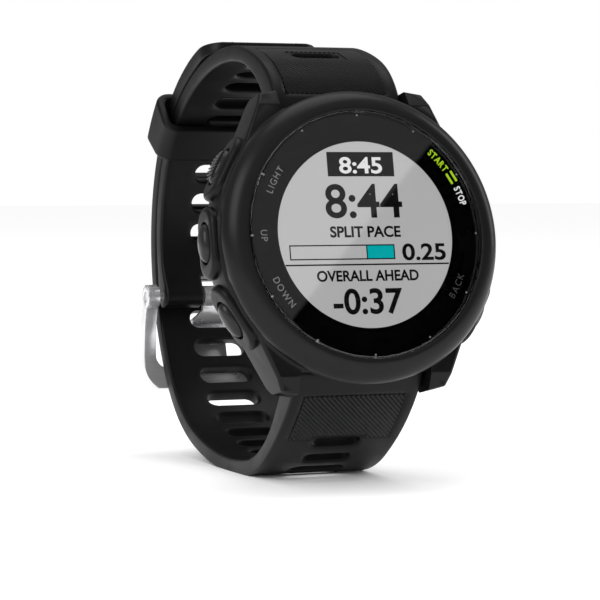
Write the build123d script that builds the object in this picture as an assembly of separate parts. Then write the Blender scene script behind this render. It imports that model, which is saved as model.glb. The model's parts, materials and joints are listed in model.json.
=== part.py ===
"""GPS running watch on a silicone strap, buckled in a loop and standing on the strap.

The watch is drawn in its own head frame, in millimetres: x to 3 o'clock, y from the
lens towards the wrist, z to 12 o'clock, origin at the middle of the lens front.
Every solid is then leaned back and shifted, so that the strap's flat run lies on z = 0.
"""
import os
from math import atan2, cos, pi, radians, sin

from build123d import *

# overall sizes
CASE_R = 21.0            # middle of the case, outer radius
CASE_DEPTH = 11.6        # lens front to case back
LEAN = 11.45             # how far the face leans back when the watch stands
CLEAR = 0.30             # gap between soft pieces
FIT = 0.05               # radial running clearance

# lens, bezel and display stack
LENS_R = 17.44
LENS_T = 1.05
BEZEL_R = 20.7
BEZEL_LIP_Y = 2.5
BEZEL_SEAT_R = 16.6
DISPLAY_R = 14.6
ACTIVE_R = 13.15

# case
CAVITY_R = 17.3
POCKET_Z = 15.9          # strap pocket floor, above and below the case body
POCKET_WALL = 1.1
CAVITY_Z = POCKET_Z - POCKET_WALL
CASE_TOP_Y = 3.35
COVER_Y = 10.3
COVER_R = 17.0
COVER_Z = 15.1
LEDGE_Y = 9.3
WINDOW_R = 6.8
SCREW_R = 0.45

# strap
STRAP_W = 19.4
STRAP_T = 2.4
STRAP_ROOT_T = 4.4       # thickness at the lugs
ROOT_LEN = 16.0          # length over which the strap thins
LUG_GAP = STRAP_W + 0.4
LUG_W = 2.6
LUG_TIP_Z = 21.5
BAR_Y = 8.4
BAR_Z = 18.3
EDGE_R = 0.7

# strap runs: (length, turn in degrees), starting at a spring bar
UPPER_HEADING = 84.36
UPPER_RUNS = [(9.35, -45.91), (9.35, -22.88), (11.42, -17.08), (12.46, -19.37), (20.77, -45.27),
              (15.06, -36.06)]
LOWER_HEADING = -47.69
LOWER_RUNS = [(9.35, 11.55), (7.67, 15.28), (7.67, 24.8), (13.0, 15.02), (9.86, 10.85), (14.24, 35.41),
              (16.43, 24.38), (13.42, 24.26)]
FLAT_RUN = 3             # index of the shallow run the watch stands on
FLAT_SKIM = 0.43         # taken off under that run, to make it flat
LAYER_STEP = STRAP_T + 0.25
KEEPER_RUN = 4           # index of the upper run the keeper slides on
TIP_RUN = 3              # the last upper run that the tail follows

# slots
SLOT_LEN = 8.8
SLOT_W = 3.0
SLOT_PITCH = 5.1
TONGUE_SLOT_S = 71.85     # along the lower strap
LOWER_SLOTS_BEFORE = 10   # between the lugs and the slot in use
LOWER_SLOTS_AFTER = 8
UPPER_SLOT_S = 22.2
UPPER_SLOTS = 10
UPPER_LUG_SLOTS = (11.4,)       # short slots near the lugs
LOWER_LUG_SLOTS = (12.4, 16.45)
LUG_SLOT_LEN = 7.6

# spring bars
TUBE_R = 0.90
TUBE_BORE_R = 0.50
TIP_R = TUBE_BORE_R - FIT
RELEASE_TRAVEL = 1.2

# buttons: name, clock angle in degrees from 3 o'clock
BUTTONS = [("light", 150.0), ("up", 180.0), ("down", 210.0), ("start_stop", 30.0), ("back", -30.0)]
BUTTON_Y = 6.9
BUTTON_FACE_R = 22.4
BUTTON_FLOOR_R = 19.6
BUTTON_LEN = 5.6
BUTTON_W = 3.2
BUTTON_TRAVEL = 0.45
STEM_R = 0.90
STEM_END_R = 15.75
SWITCH_TOP_R = STEM_END_R - BUTTON_TRAVEL - 0.05
SEAL_R = 1.35
CLIP_X = 16.35
CLIP_T = 0.25

# buckle
PIN_R = 0.75
BARREL_R = 2.0
FRAME_W = 24.6
ARM_W = 2.0
FRAME_T = 2.0
BAR_W = 3.4
FRAME_TURN = -40.0
FRAME_HEADING = -55.2
TONGUE_SWING = 5.3       # the tongue's turn about the pin, to lie on the frame's bar
FRAME_ARC_R = 19.3
NOTCH_W = 5.9
TONGUE_W = 5.4
TONGUE_TIP_W = 7.4
TONGUE_T = 1.0

# keeper
KEEPER_LEN = 6.8
KEEPER_WALL = 1.4
KEEPER_HEADING = -39.5
KEEPER_RANGE = 5.0


def walk(start, heading, runs, step=1.6):
    """Points (y, z, heading in radians, distance) along tangent arcs and lines."""
    y, z = start
    angle = radians(heading)
    travelled = 0.0
    points = [(y, z, angle, travelled)]
    for length, turn in runs:
        count = max(2, round(length / step))
        piece = length / count
        bend = radians(turn) / count
        chord = piece * (sin(bend / 2) / (bend / 2) if bend else 1.0)
        for _ in range(count):
            y += chord * cos(angle + bend / 2)
            z += chord * sin(angle + bend / 2)
            angle += bend
            travelled += piece
            points.append((y, z, angle, travelled))
    return points


def point_at(start, heading, runs, distance):
    """The point and heading (y, z, radians) at one distance along the runs."""
    cut, left = [], distance
    for length, turn in runs:
        share = min(1.0, left / length)
        cut.append((length * share, turn * share))
        left -= length * share
        if left <= 1e-9:
            break
    return walk(start, heading, cut)[-1][:3]


def tail_runs():
    """Runs of the lower strap, its tail following the upper strap from the outside."""
    followed = reversed(UPPER_RUNS[TIP_RUN:KEEPER_RUN + 1])
    return LOWER_RUNS + [(length + LAYER_STEP * radians(-turn), -turn) for length, turn in followed]


UPPER_PATH = ((BAR_Y, BAR_Z), UPPER_HEADING, UPPER_RUNS)
LOWER_PATH = ((BAR_Y, -BAR_Z), LOWER_HEADING, tail_runs())
PIN_Y, PIN_Z = point_at(*UPPER_PATH, sum(length for length, _ in UPPER_RUNS))[:2]


def half_thickness(distance):
    """Half of the strap's thickness at a distance from its spring bar."""
    share = min(1.0, distance / ROOT_LEN)
    blend = share * share * (3 - 2 * share)
    return (STRAP_ROOT_T + (STRAP_T - STRAP_ROOT_T) * blend) / 2


def band(points, halves):
    """A face in the y-z plane, with the given half thicknesses about a line of points."""
    left = [(0, y - sin(a) * h, z + cos(a) * h) for (y, z, a), h in zip(points, halves)]
    right = [(0, y + sin(a) * h, z - cos(a) * h) for (y, z, a), h in zip(points, halves)]
    edges = [Spline(*left), Line(left[-1], right[-1]), Spline(*right), Line(right[0], left[0])]
    return make_face(edges)


def across(face, width):
    """Extrude a y-z face to both sides of the middle."""
    return extrude(face, width / 2, dir=(1, 0, 0), both=True)


def disc(radius, y0, y1, x=0.0, z=0.0):
    return Pos(x, (y0 + y1) / 2, z) * Rot(90, 0, 0) * Cylinder(radius, y1 - y0)


def ring(inner, outer, y0, y1):
    return disc(outer, y0, y1) - disc(inner, y0 - 1, y1 + 1)


def block(x, y, z):
    """A box given by its (low, high) pairs."""
    size = (x[1] - x[0], y[1] - y[0], z[1] - z[0])
    return Pos((x[0] + x[1]) / 2, (y[0] + y[1]) / 2, (z[0] + z[1]) / 2) * Box(*size)


def rod(radius, x0, x1, y, z):
    return Pos((x0 + x1) / 2, y, z) * Rot(0, 90, 0) * Cylinder(radius, x1 - x0)


def lathe(points):
    """A solid of revolution about the y axis from (radius, y) points."""
    return revolve(make_face(Polyline(*points, close=True)), Axis.Y)


def flat_disc(radius, z_limit, y0, y1):
    """A disc with its 12 and 6 o'clock sides cut flat."""
    return disc(radius, y0, y1) & block((-radius - 1, radius + 1), (y0 - 1, y1 + 1), (-z_limit, z_limit))


def at_clock(shape, angle):
    """Turn a shape drawn along +x to a clock angle."""
    return Rot(0, -angle, 0) * shape


# ---------------------------------------------------------------- front of the head
def bezel_ring():
    profile = [(LENS_R + FIT, 0.12), (LENS_R + 0.35, 0.0), (18.7, 0.25), (19.9, 1.0), (BEZEL_R - 0.15, 2.1),
               (BEZEL_R, BEZEL_LIP_Y), (BEZEL_R, 3.2), (BEZEL_R - 0.1, 3.3), (20.0, 3.3), (20.0, 2.6),
               (BEZEL_SEAT_R, 2.6), (BEZEL_SEAT_R, 1.5), (LENS_R + FIT, 1.5)]
    return lathe(profile)


def lens():
    profile = [(0, 0), (LENS_R - 0.3, 0), (LENS_R - 0.08, 0.09), (LENS_R, 0.3), (LENS_R, LENS_T), (0, LENS_T)]
    return lathe(profile)


def display_stack():
    """The thin discs behind the lens."""
    carrier = disc(16.3, 2.65, 3.3) - block((-4.5, 4.5), (2, 4), (-11, -7))
    return {
        "lens": lens(),
        "lens_gasket": ring(BEZEL_SEAT_R + 0.1, LENS_R - 0.04, LENS_T + 0.1, 1.5),
        "dial_mask": ring(ACTIVE_R, LENS_R - 0.1, LENS_T, LENS_T + 0.1),
        "display_panel": disc(DISPLAY_R, 1.2, 2.1),
        "backlight_guide": disc(DISPLAY_R - 0.2, 2.15, 2.6),
        "display_carrier": carrier,
        "gps_antenna": ring(18.0, 19.6, 2.65, 3.3) - block((-1.2, 1.2), (2, 4), (-20, -17)),
    }


# ---------------------------------------------------------------- case
def lug_prism(side, end):
    """One lug, blended into the case wall: side is -1 or 1 in x, end is -1 or 1 in z."""
    inner = LUG_GAP / 2
    outline = Polyline((inner, 12.0), (inner, LUG_TIP_Z), (inner + LUG_W, LUG_TIP_Z - 0.5),
                       (15.6, 14.0), (14.0, 12.0), close=True)
    plan = extrude(Plane.XZ.offset(-12) * make_face(outline), 9)
    profile = Polyline((0, 3.9, 10), (0, 4.3, 19.2), (0, 5.6, LUG_TIP_Z), (0, 8.9, LUG_TIP_Z),
                       (0, 10.3, 20.0), (0, 11.0, 15.5), (0, 11.2, 10), close=True)
    side_view = Pos(9, 0, 0) * extrude(make_face(profile), 9, dir=(1, 0, 0))
    lug = plan & side_view
    lug = fillet(lug.edges().filter_by(lambda e: e.center().Z > 16.5 and e.center().X > inner + 0.4), 0.55)
    if end < 0:
        lug = mirror(lug, Plane.XY)
    return lug if side > 0 else mirror(lug, Plane.YZ)


def button_pocket():
    """Space for one button cap in the case wall, drawn along +x."""
    plan = extrude(Plane.YZ.offset(BUTTON_FLOOR_R) * Rot(0, 0, 90) * SlotOverall(BUTTON_LEN + 0.5, BUTTON_W + 0.5), 4)
    return Pos(0, BUTTON_Y, 0) * plan


def button_guard():
    """The swelling of the case wall around one button, drawn along +x."""
    base = Plane.YZ.offset(18.5) * Rot(0, 0, 90) * SlotOverall(BUTTON_LEN + 4.6, BUTTON_W + 2.6)
    guard = extrude(base, 3.1)
    guard = Pos(0, BUTTON_Y, 0) * guard
    return fillet(guard.faces().sort_by(Axis.X)[-1].edges(), 0.7)


def case_body():
    profile = [(0, CASE_TOP_Y), (20.1, CASE_TOP_Y), (20.35, 3.6), (20.8, 4.1), (CASE_R, 5.2), (CASE_R, 8.0),
               (20.5, 9.6), (19.6, 10.8), (18.6, 11.45), (18.1, CASE_DEPTH), (0, CASE_DEPTH)]
    return lathe(profile)


def mid_case():
    body = case_body()
    for _, angle in BUTTONS:
        body += at_clock(button_guard(), angle)
    for end in (-1, 1):
        low, high = sorted((end * POCKET_Z, end * 30))
        body -= block((-LUG_GAP / 2, LUG_GAP / 2), (4.6, 20), (low, high))
        body -= block((-LUG_GAP / 2, LUG_GAP / 2), (3.9, 20), sorted((end * 18.6, end * 30)))
        for side in (-1, 1):
            body += lug_prism(side, end)
            hole = rod(TUBE_BORE_R, LUG_GAP / 2 - 1, LUG_GAP / 2 + 1.5, BAR_Y, end * BAR_Z)
            body -= hole if side > 0 else mirror(hole, Plane.YZ)
    body -= disc(CAVITY_R, 0, 4.0)
    body -= flat_disc(CAVITY_R, CAVITY_Z, 3.0, LEDGE_Y)
    body -= flat_disc(CAVITY_R - 1.7, CAVITY_Z - 1.2, 9.0, 10.2)
    body -= flat_disc(COVER_R + FIT, COVER_Z + FIT, 10.1, 13)
    for x, z in screw_places():
        body += disc(1.2, 7.4, 10.1, x, z) & flat_disc(CAVITY_R + 0.5, CAVITY_Z + 0.5, 7, 10.1)
        body -= disc(SCREW_R, 7.9, 11, x, z)
    for _, angle in BUTTONS:
        body -= at_clock(button_pocket(), angle)
        body -= at_clock(rod(STEM_R + FIT, 16, 21, BUTTON_Y, 0), angle)
        body -= at_clock(rod(SEAL_R, 18.2, 21, BUTTON_Y, 0), angle)
    return body



def screw_places():
    return [(sx * 8.2, sz * 13.6) for sx in (-1, 1) for sz in (-1, 1)]


def back_cover():
    cover = flat_disc(COVER_R, COVER_Z, COVER_Y, CASE_DEPTH)
    cover -= disc(WINDOW_R + FIT, COVER_Y - 1, CASE_DEPTH + 1)
    cover -= block((-3.3, 3.3), (COVER_Y - 1, CASE_DEPTH + 1), (-12.3, -9.0))
    for x, z in screw_places():
        cover -= disc(SCREW_R + FIT, COVER_Y - 1, CASE_DEPTH + 1, x, z)
        cover -= disc(1.0, CASE_DEPTH - 0.6, CASE_DEPTH + 1, x, z)
    return cover



def cover_parts():
    screws = []
    for x, z in screw_places():
        screw = disc(SCREW_R, 8.0, CASE_DEPTH - 0.5, x, z) + disc(0.9, CASE_DEPTH - 0.6, CASE_DEPTH - 0.05, x, z)
        screws.append(screw - block((x - 0.6, x + 0.6), (CASE_DEPTH - 0.3, 12), (z - 0.12, z + 0.12)))
    seal = flat_disc(16.6, COVER_Z - 0.35, 10.1, COVER_Y) - flat_disc(16.0, COVER_Z - 0.95, 10, 11)
    for x, z in screw_places():
        seal -= disc(0.75, 10, 11, x, z)
    window = [(0, 10.7), (WINDOW_R - 1.0, 10.7), (WINDOW_R, 10.7), (WINDOW_R, CASE_DEPTH), (6.2, 11.95),
              (4.2, 12.2), (0, 12.3)]
    port = block((-3.25, 3.25), (10.0, 11.2), (-12.25, -9.05))
    contacts = []
    for i in range(4):
        x = -2.25 + 1.5 * i
        port -= disc(0.42, 9.5, 12, x, -10.65)
        contacts.append(disc(0.42, 10.0, 11.3, x, -10.65))
    return {
        "back_cover": back_cover(),
        "back_cover_screws": Compound(children=screws),
        "case_seal": seal,
        "sensor_window": lathe(window),
        "charging_port_block": port,
        "charging_contacts": Compound(children=contacts),
    }


def electronics():
    board = flat_disc(15.2, CAVITY_Z - 0.4, 3.9, 4.7)
    chips = [block((-9, -5), (4.7, 5.5), (4, 8)), block((5.5, 8.5), (4.7, 5.4), (-9, -6)),
             block((6, 10), (4.7, 5.6), (6, 9)), block((-8.5, -6.5), (4.7, 5.3), (-8, -4))]
    flex = ring(15.35, 15.6, 5.9, 7.9) - block((-9, 9), (5, 9), (-17, 17))
    switches = []
    for _, angle in BUTTONS:
        body = block((13.9, 14.9), (6.0, 7.8), (-1.4, 1.4)) + rod(0.6, 14.8, SWITCH_TOP_R, BUTTON_Y, 0)
        switches.append(at_clock(body, angle))
        flex -= at_clock(block((14, 17), (5.5, 8.3), (-1.0, 1.0)), angle)
    lights = [block((-0.7, 0.7), (9.95, 10.5), (z - 0.6, z + 0.6)) for z in (-3.2, 3.2)]
    return {
        "main_board": board,
        "shield_can": block((-3.5, 4.5), (4.7, 5.6), (-5, 5)),
        "board_chips": Compound(children=chips),
        "battery_cell": fillet(disc(9.2, 5.75, 9.0, -1.8).edges(), 0.5),
        "vibration_motor": disc(2.7, 5.9, 8.3, 10.4),
        "sounder": disc(2.4, 5.0, 6.4, 3.5, -11.4),
        "switch_flex": flex,
        "tact_switches": Compound(children=switches),
        "sensor_board": disc(6.3, 9.4, 9.95),
        "sensor_leds": Compound(children=lights),
        "photodiode": block((-1.5, 1.5), (9.95, 10.5), (-1.5, 1.5)),
    }


# ---------------------------------------------------------------- buttons
def button_cap(name):
    """Cap and stem of one button, drawn along +x; the light button's cap is ribbed."""
    outline = Plane.YZ.offset(20.15) * Rot(0, 0, 90) * SlotOverall(BUTTON_LEN, BUTTON_W)
    cap = extrude(outline, BUTTON_FACE_R - 20.15)
    cap = fillet(cap.faces().sort_by(Axis.X)[-1].edges(), 0.9)
    if name == "light":
        for i in range(-4, 5):
            groove = block((BUTTON_FACE_R - 0.15, 23), (-2, 2), (i * 0.5 - 0.1, i * 0.5 + 0.1))
            cap -= groove
    cap = Pos(0, BUTTON_Y, 0) * cap
    stem = rod(STEM_R, STEM_END_R, 20.4, BUTTON_Y, 0)
    groove = rod(2, CLIP_X - 0.02, CLIP_X + CLIP_T + 0.02, BUTTON_Y, 0) - rod(0.6, 10, 20, BUTTON_Y, 0)
    return cap + (stem - groove)



def button_parts():
    parts = {}
    for name, angle in BUTTONS:
        seal = rod(SEAL_R, 18.2, 19.2, BUTTON_Y, 0) - rod(STEM_R, 18, 20, BUTTON_Y, 0)
        clip = rod(1.5, CLIP_X, CLIP_X + CLIP_T, BUTTON_Y, 0) - rod(0.6, 16, 18, BUTTON_Y, 0)
        parts[f"{name}_button"] = at_clock(button_cap(name), angle)
        parts[f"{name}_button_seal"] = at_clock(seal, angle)
        parts[f"{name}_button_clip"] = at_clock(clip, angle)
    return parts


# ---------------------------------------------------------------- straps
def slot_cutter(path, distance, length=SLOT_LEN, width=SLOT_W):
    y, z, angle = point_at(*path, distance)
    plane = Plane(origin=(0, y, z), x_dir=(1, 0, 0), z_dir=(0, -sin(angle), cos(angle)))
    return extrude(plane * SlotOverall(length, width), 3.5, both=True)


def strap_blank(path):
    points = walk(*path)
    halves = [half_thickness(s) for *_, s in points]
    blank = across(band([p[:3] for p in points], halves), STRAP_W)
    long_edges = blank.edges().filter_by(lambda e: e.length > 60)
    return fillet(long_edges, EDGE_R)


def bar_parts(name, end):
    """Quick-release spring bar at one end: tube, sliding pin with its thumb lever, and spring."""
    z = end * BAR_Z
    half = STRAP_W / 2 - 0.05
    lever_x = -6.4
    tube = rod(TUBE_R, -half, half, BAR_Y, z) - rod(TUBE_BORE_R, -half - 1, 2, BAR_Y, z)
    tube += rod(TIP_R, half - 0.5, half + 1.35, BAR_Y, z)
    slot = block((lever_x - 0.5, lever_x + 0.5 + RELEASE_TRAVEL), (BAR_Y, BAR_Y + 2), (z - 0.45, z + 0.45))
    pin = rod(TIP_R, -half - 1.35, -4.2, BAR_Y, z)
    pin += disc(0.35, BAR_Y, BAR_Y + 2.9, lever_x, z)
    pin += disc(0.75, BAR_Y + 2.4, BAR_Y + 3.1, lever_x, z)
    spring = rod(TIP_R, -4.2 + RELEASE_TRAVEL, 2, BAR_Y, z) - rod(0.25, -5, 3, BAR_Y, z)
    return {f"{name}_spring_bar": tube - slot, f"{name}_release_pin": pin, f"{name}_release_spring": spring}


def root_cuts(strap, end):
    """The spring bar's bore, the rounded strap end and the lever's slot."""
    z = end * BAR_Z
    strap += rod(STRAP_ROOT_T / 2, -STRAP_W / 2, STRAP_W / 2, BAR_Y, z)
    strap -= rod(TUBE_R + FIT, -12, 12, BAR_Y, z)
    return strap - block((-7.4, -4.2), (BAR_Y, BAR_Y + 4), (z - 0.9, z + 0.9))


def upper_strap():
    strap = root_cuts(strap_blank(UPPER_PATH), 1)
    strap += rod(BARREL_R, -9.2, 9.2, PIN_Y, PIN_Z)
    strap -= rod(PIN_R + FIT, -13, 13, PIN_Y, PIN_Z)
    strap -= block((-NOTCH_W / 2, NOTCH_W / 2), (PIN_Y - 4, PIN_Y + 4), (PIN_Z - 4, PIN_Z + 3.2))
    for s in UPPER_LUG_SLOTS:
        strap -= slot_cutter(UPPER_PATH, s, LUG_SLOT_LEN)
    for i in range(UPPER_SLOTS):
        strap -= slot_cutter(UPPER_PATH, UPPER_SLOT_S + i * SLOT_PITCH)
    return strap


def flat_run_middle():
    """The middle (y, z, heading) of the run the watch stands on, at mid thickness."""
    before = sum(length for length, _ in LOWER_RUNS[:FLAT_RUN])
    return point_at(*LOWER_PATH, before + LOWER_RUNS[FLAT_RUN][0] / 2)


def below_flat():
    """Everything under the flat run, less a thin skim of the run itself."""
    y, z, heading = flat_run_middle()
    deep = 10
    drop = STRAP_T / 2 - FLAT_SKIM + deep / 2
    centre = (y + sin(heading) * drop, z - cos(heading) * drop)
    return Pos(0, *centre) * Rot(heading * 180 / pi, 0, 0) * Box(60, 80, deep)


def lower_strap():
    strap = root_cuts(strap_blank(LOWER_PATH), -1) - below_flat()
    for s in LOWER_LUG_SLOTS:
        strap -= slot_cutter(LOWER_PATH, s, LUG_SLOT_LEN)
    for s in lower_slot_places():
        strap -= slot_cutter(LOWER_PATH, s)
    return strap


def lower_slot_places():
    """Distances of the tongue slots, on both sides of the one in use."""
    return [TONGUE_SLOT_S + i * SLOT_PITCH for i in range(-LOWER_SLOTS_BEFORE, LOWER_SLOTS_AFTER + 1)]


# ---------------------------------------------------------------- buckle and keeper
def frame_path():
    return ((PIN_Y, PIN_Z), FRAME_HEADING, [(FRAME_ARC_R * radians(-FRAME_TURN), FRAME_TURN)])


def buckle_frame():
    """Curved U frame: side arms on the pin and a far bar outside the strap's tail."""
    start, heading, runs = frame_path()
    back = -radians(heading)
    lead = (start[0] - 1.7 * cos(back), start[1] + 1.7 * sin(back))
    length = runs[0][0]
    points = walk(lead, heading, [(1.7, 0.0), (length, FRAME_TURN), (BAR_W / 2, 0.0)], 1.0)
    side = across(band([p[:3] for p in points], [FRAME_T / 2] * len(points)), FRAME_W)
    bottom = min(p[1] for p in points) - 0.6
    window_low = point_at(start, heading, runs, length - BAR_W / 2)[1]
    outer = Pos(0, (5 + bottom) / 2) * RectangleRounded(FRAME_W, 5 - bottom, 4.4)
    outer += Pos(0, 2) * Rectangle(FRAME_W, 6)
    inner = Pos(0, (12 + window_low) / 2) * RectangleRounded(FRAME_W - 2 * ARM_W, 12 - window_low, 2.0)
    plan = extrude(Plane.XZ.offset(-80) * (outer - inner), 40)
    frame = side & plan
    frame += rod(1.75, -FRAME_W / 2, -FRAME_W / 2 + ARM_W, PIN_Y, PIN_Z)
    frame += rod(1.75, FRAME_W / 2 - ARM_W, FRAME_W / 2, PIN_Y, PIN_Z)
    return frame - rod(PIN_R + FIT, -14, 14, PIN_Y, PIN_Z)


def buckle_tongue():
    """Tongue on the pin, bent through the tail's slot to lie on the frame's far bar."""
    line = [(PIN_Y + 0.2, PIN_Z - 1.0), (PIN_Y + 0.5, PIN_Z - 2.4), (PIN_Y + 1.4, PIN_Z - 3.55),
            (PIN_Y + 2.9, PIN_Z - 4.1), (PIN_Y + 4.3, PIN_Z - 4.75), (PIN_Y + 5.1, PIN_Z - 6.1),
            (PIN_Y + 5.0, PIN_Z - 8.4), (PIN_Y + 4.5, PIN_Z - 10.8), (PIN_Y + 3.8, PIN_Z - 13.6)]
    wire = Spline(*[(0, y, z) for y, z in line])
    points = []
    for i in range(25):
        spot, way = wire @ (i / 24), wire % (i / 24)
        points.append((spot.Y, spot.Z, atan2(way.Z, way.Y)))
    side = across(band(points, [TONGUE_T / 2] * len(points)), TONGUE_TIP_W)
    low = PIN_Z - 14.5
    outline = Polyline((-TONGUE_W / 2, PIN_Z), (-TONGUE_W / 2, PIN_Z - 2.2), (-TONGUE_TIP_W / 2, PIN_Z - 3.4),
                       (-TONGUE_TIP_W / 2, PIN_Z - 5.2), (-TONGUE_W / 2, PIN_Z - 7.4), (-TONGUE_W / 2, low),
                       (TONGUE_W / 2, low), (TONGUE_W / 2, PIN_Z - 7.4), (TONGUE_TIP_W / 2, PIN_Z - 5.2),
                       (TONGUE_TIP_W / 2, PIN_Z - 3.4), (TONGUE_W / 2, PIN_Z - 2.2), (TONGUE_W / 2, PIN_Z),
                       close=True)
    plan = extrude(Plane.XZ.offset(-80) * make_face(outline), 40)
    tongue = (side & plan) + rod(1.6, -TONGUE_W / 2, TONGUE_W / 2, PIN_Y, PIN_Z)
    pin = Pos(0, PIN_Y, PIN_Z)
    tongue = pin * Rot(TONGUE_SWING, 0, 0) * pin.inverse() * tongue
    return tongue - rod(PIN_R + FIT, -14, 14, PIN_Y, PIN_Z)


def keeper_arc():
    """Centre (y, z) and radius of the upper strap's curve that the keeper slides on."""
    start = sum(length for length, _ in UPPER_RUNS[:KEEPER_RUN])
    y, z, angle = point_at(*UPPER_PATH, start)
    length, turn = UPPER_RUNS[KEEPER_RUN]
    radius = length / radians(-turn)
    return (y + radius * sin(angle), z - radius * cos(angle)), radius


def keeper_loop():
    (cy, cz), radius = keeper_arc()
    inner_r = radius - STRAP_T / 2 - CLEAR
    outer_r = radius + LAYER_STEP + STRAP_T / 2 + CLEAR
    span = KEEPER_LEN / radius
    middle = radians(KEEPER_HEADING + 90)
    hole = rod(outer_r, -10.1, 10.1, cy, cz) - rod(inner_r, -11, 11, cy, cz)
    shell = rod(outer_r + KEEPER_WALL, -11.5, 11.5, cy, cz) - rod(inner_r - KEEPER_WALL, -12, 12, cy, cz)
    corners = [(cy, cz)]
    for angle in (middle - span / 2, middle + span / 2):
        corners.append((cy + 50 * cos(angle), cz + 50 * sin(angle)))
    wedge = across(make_face(Polyline(*[(0, y, z) for y, z in corners], close=True)), 40)
    loop = shell & wedge
    long_edges = loop.edges().filter_by(GeomType.LINE).filter_by(Axis.X)
    loop = fillet(long_edges, 0.5)
    return loop - hole


def buckle_parts():
    pin = rod(PIN_R, -FRAME_W / 2 + 0.25, FRAME_W / 2 - 0.25, PIN_Y, PIN_Z)
    return {
        "buckle_frame": buckle_frame(),
        "buckle_tongue": buckle_tongue(),
        "buckle_pin": pin,
        "keeper_loop": keeper_loop(),
    }


# ---------------------------------------------------------------- assembly
def head_frame_parts():
    """Every node of the watch in the head frame."""
    parts = {"bezel_ring": bezel_ring(), "mid_case": mid_case()}
    parts.update(display_stack())
    parts.update(cover_parts())
    parts.update(electronics())
    parts.update(button_parts())
    parts.update({"upper_strap": upper_strap(), "lower_strap": lower_strap()})
    parts.update(bar_parts("upper", 1))
    parts.update(bar_parts("lower", -1))
    parts.update(buckle_parts())
    return parts


def placement(parts):
    """Location that leans the head frame back and puts the strap's flat run on z = 0."""
    lean = Rot(-LEAN, 0, 0)
    boxes = [(lean * shape).bounding_box() for shape in parts.values()]
    low = [min(getattr(b.min, k) for b in boxes) for k in "XYZ"]
    high = [max(getattr(b.max, k) for b in boxes) for k in "XYZ"]
    return Pos(-(low[0] + high[0]) / 2, -(low[1] + high[1]) / 2, -low[2]) * lean


if __name__ == "__main__":
    os.makedirs("parts", exist_ok=True)
    watch = head_frame_parts()
    place = placement(watch)
    for node, shape in watch.items():
        export_step(place * shape, f"parts/{node}.step")
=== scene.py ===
"""Looks of a round running watch: slotted silicone strap, satin case, flat display and steel buckle."""
from __future__ import annotations

import json
import logging
import math
from dataclasses import dataclass, field
from enum import Enum
from typing import Iterable, Sequence

import bmesh
import bpy
from mathutils import Matrix, Vector

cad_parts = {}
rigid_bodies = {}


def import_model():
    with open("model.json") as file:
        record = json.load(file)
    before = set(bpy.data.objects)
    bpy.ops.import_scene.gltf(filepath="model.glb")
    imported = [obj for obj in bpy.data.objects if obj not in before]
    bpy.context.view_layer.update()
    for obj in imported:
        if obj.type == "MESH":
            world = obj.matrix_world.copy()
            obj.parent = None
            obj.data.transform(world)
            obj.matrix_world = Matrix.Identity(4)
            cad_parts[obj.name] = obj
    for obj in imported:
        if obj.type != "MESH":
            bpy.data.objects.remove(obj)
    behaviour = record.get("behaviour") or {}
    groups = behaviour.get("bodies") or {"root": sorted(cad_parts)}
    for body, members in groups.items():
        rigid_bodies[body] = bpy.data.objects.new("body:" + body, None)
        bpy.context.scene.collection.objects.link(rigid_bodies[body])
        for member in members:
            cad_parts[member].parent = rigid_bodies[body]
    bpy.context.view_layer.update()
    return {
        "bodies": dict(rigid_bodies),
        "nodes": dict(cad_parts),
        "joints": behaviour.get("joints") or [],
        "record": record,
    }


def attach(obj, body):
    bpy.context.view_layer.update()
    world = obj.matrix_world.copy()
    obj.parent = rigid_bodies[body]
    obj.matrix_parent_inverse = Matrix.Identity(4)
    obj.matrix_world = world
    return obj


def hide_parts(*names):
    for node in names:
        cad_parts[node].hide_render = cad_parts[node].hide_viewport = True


LOG = logging.getLogger("running_watch")
MM = 0.001
Colour = tuple[float, float, float, float]


def grey(value: float) -> Colour:
    """An opaque grey."""
    return (value, value, value, 1.0)


# ---------------------------------------------------------------- shared helpers
def soften(bm: bmesh.types.BMesh, geom: Sequence, offset: float, segments: int,
           affect: str = "EDGES") -> None:
    """Round edges or corners.

    Args:
        bm: the mesh.
        geom: the edges or corners.
        offset: how far the rounding reaches.
        segments: facets across it.
        affect: EDGES or VERTICES.
    """
    bmesh.ops.bevel(bm, geom=geom, offset=offset, offset_type="OFFSET", segments=segments, profile=0.5,
                    affect=affect, clamp_overlap=True, material=-1)


def joined(parts: Iterable[bmesh.types.BMesh]) -> bmesh.types.BMesh:
    """Put several meshes into one.

    Args:
        parts: the meshes, which are freed.

    Returns:
        The whole.
    """
    carrier = bpy.data.meshes.new("join")
    whole = bmesh.new()
    for part in parts:
        part.to_mesh(carrier)
        part.free()
        whole.from_mesh(carrier)
    bpy.data.meshes.remove(carrier)
    return whole


def add_node(tree: bpy.types.NodeTree, kind: str, feeds: dict | None = None, values: dict | None = None,
             **settings: object) -> bpy.types.Node:
    """Add a shader node, set it up and link its inputs.

    Args:
        tree: the node tree.
        kind: the node's type name.
        feeds: the socket that each named input takes.
        values: the constant of each named input.
        settings: properties to set on the node.

    Returns:
        The new node.
    """
    made = tree.nodes.new(kind)
    for key, value in settings.items():
        setattr(made, key, value)
    for key, value in (values or {}).items():
        made.inputs[key].default_value = value
    for key, source in (feeds or {}).items():
        tree.links.new(source, made.inputs[key])
    return made


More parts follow.
